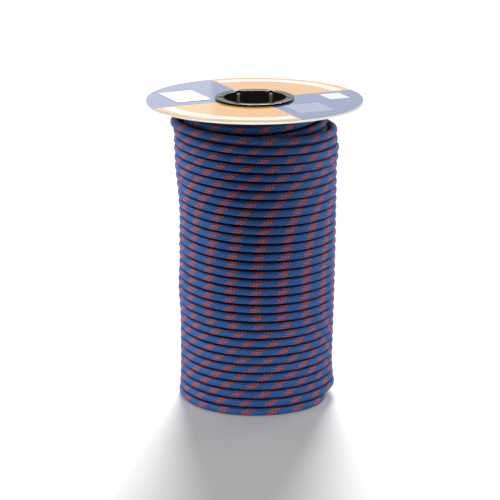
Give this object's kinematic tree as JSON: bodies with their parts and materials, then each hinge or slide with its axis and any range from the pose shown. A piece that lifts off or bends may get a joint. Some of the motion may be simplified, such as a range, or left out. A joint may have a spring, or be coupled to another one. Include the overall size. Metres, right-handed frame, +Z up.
{
  "type": "dynamic climbing rope on a reel",
  "caption": "Dynamic climbing rope in a blue and orange sheath, wound in layers on a cardboard core tube that has a round pressboard flange at the top and open spindle hubs at its ends.",
  "frame": {"origin": "on the reel's axis at floor level, under the tube's open end that the reel stands on", "axes": "+Z up along the reel's axis to the flange, -Y towards the front, +X to the right seen from the front"},
  "size_m": [0.24, 0.24, 0.3421],
  "materials": {
    "brown_board": "spiral-wound brown board",
    "white_board": "white-lined pressboard with a bare cut edge",
    "label_print": "satin-coated paper, quartered in orange and blue",
    "sticker_paper": "blank matt paper",
    "black_plastic": "moulded, slightly glossy",
    "tape": "crepe paper tape",
    "rope_sheath": "braided polyamide sheath, blue with orange tracer strands",
    "shrink_band": "blank shrink film",
    "sealed_tip": "melted polyamide"
  },
  "bodies": {
    "root": {"core_tube": "brown_board", "top_flange": "white_board", "flange_label": "label_print", "write_on_sticker": "sticker_paper", "top_hub": "black_plastic", "bottom_hub": "black_plastic", "start_tape": "tape", "rope_inner_layers": "rope_sheath", "rope_outer_upper": "rope_sheath", "rope_outer_lower": "rope_sheath", "rope_end_band": "shrink_band", "rope_end_tip": "sealed_tip"}
  },
  "joints": []
}
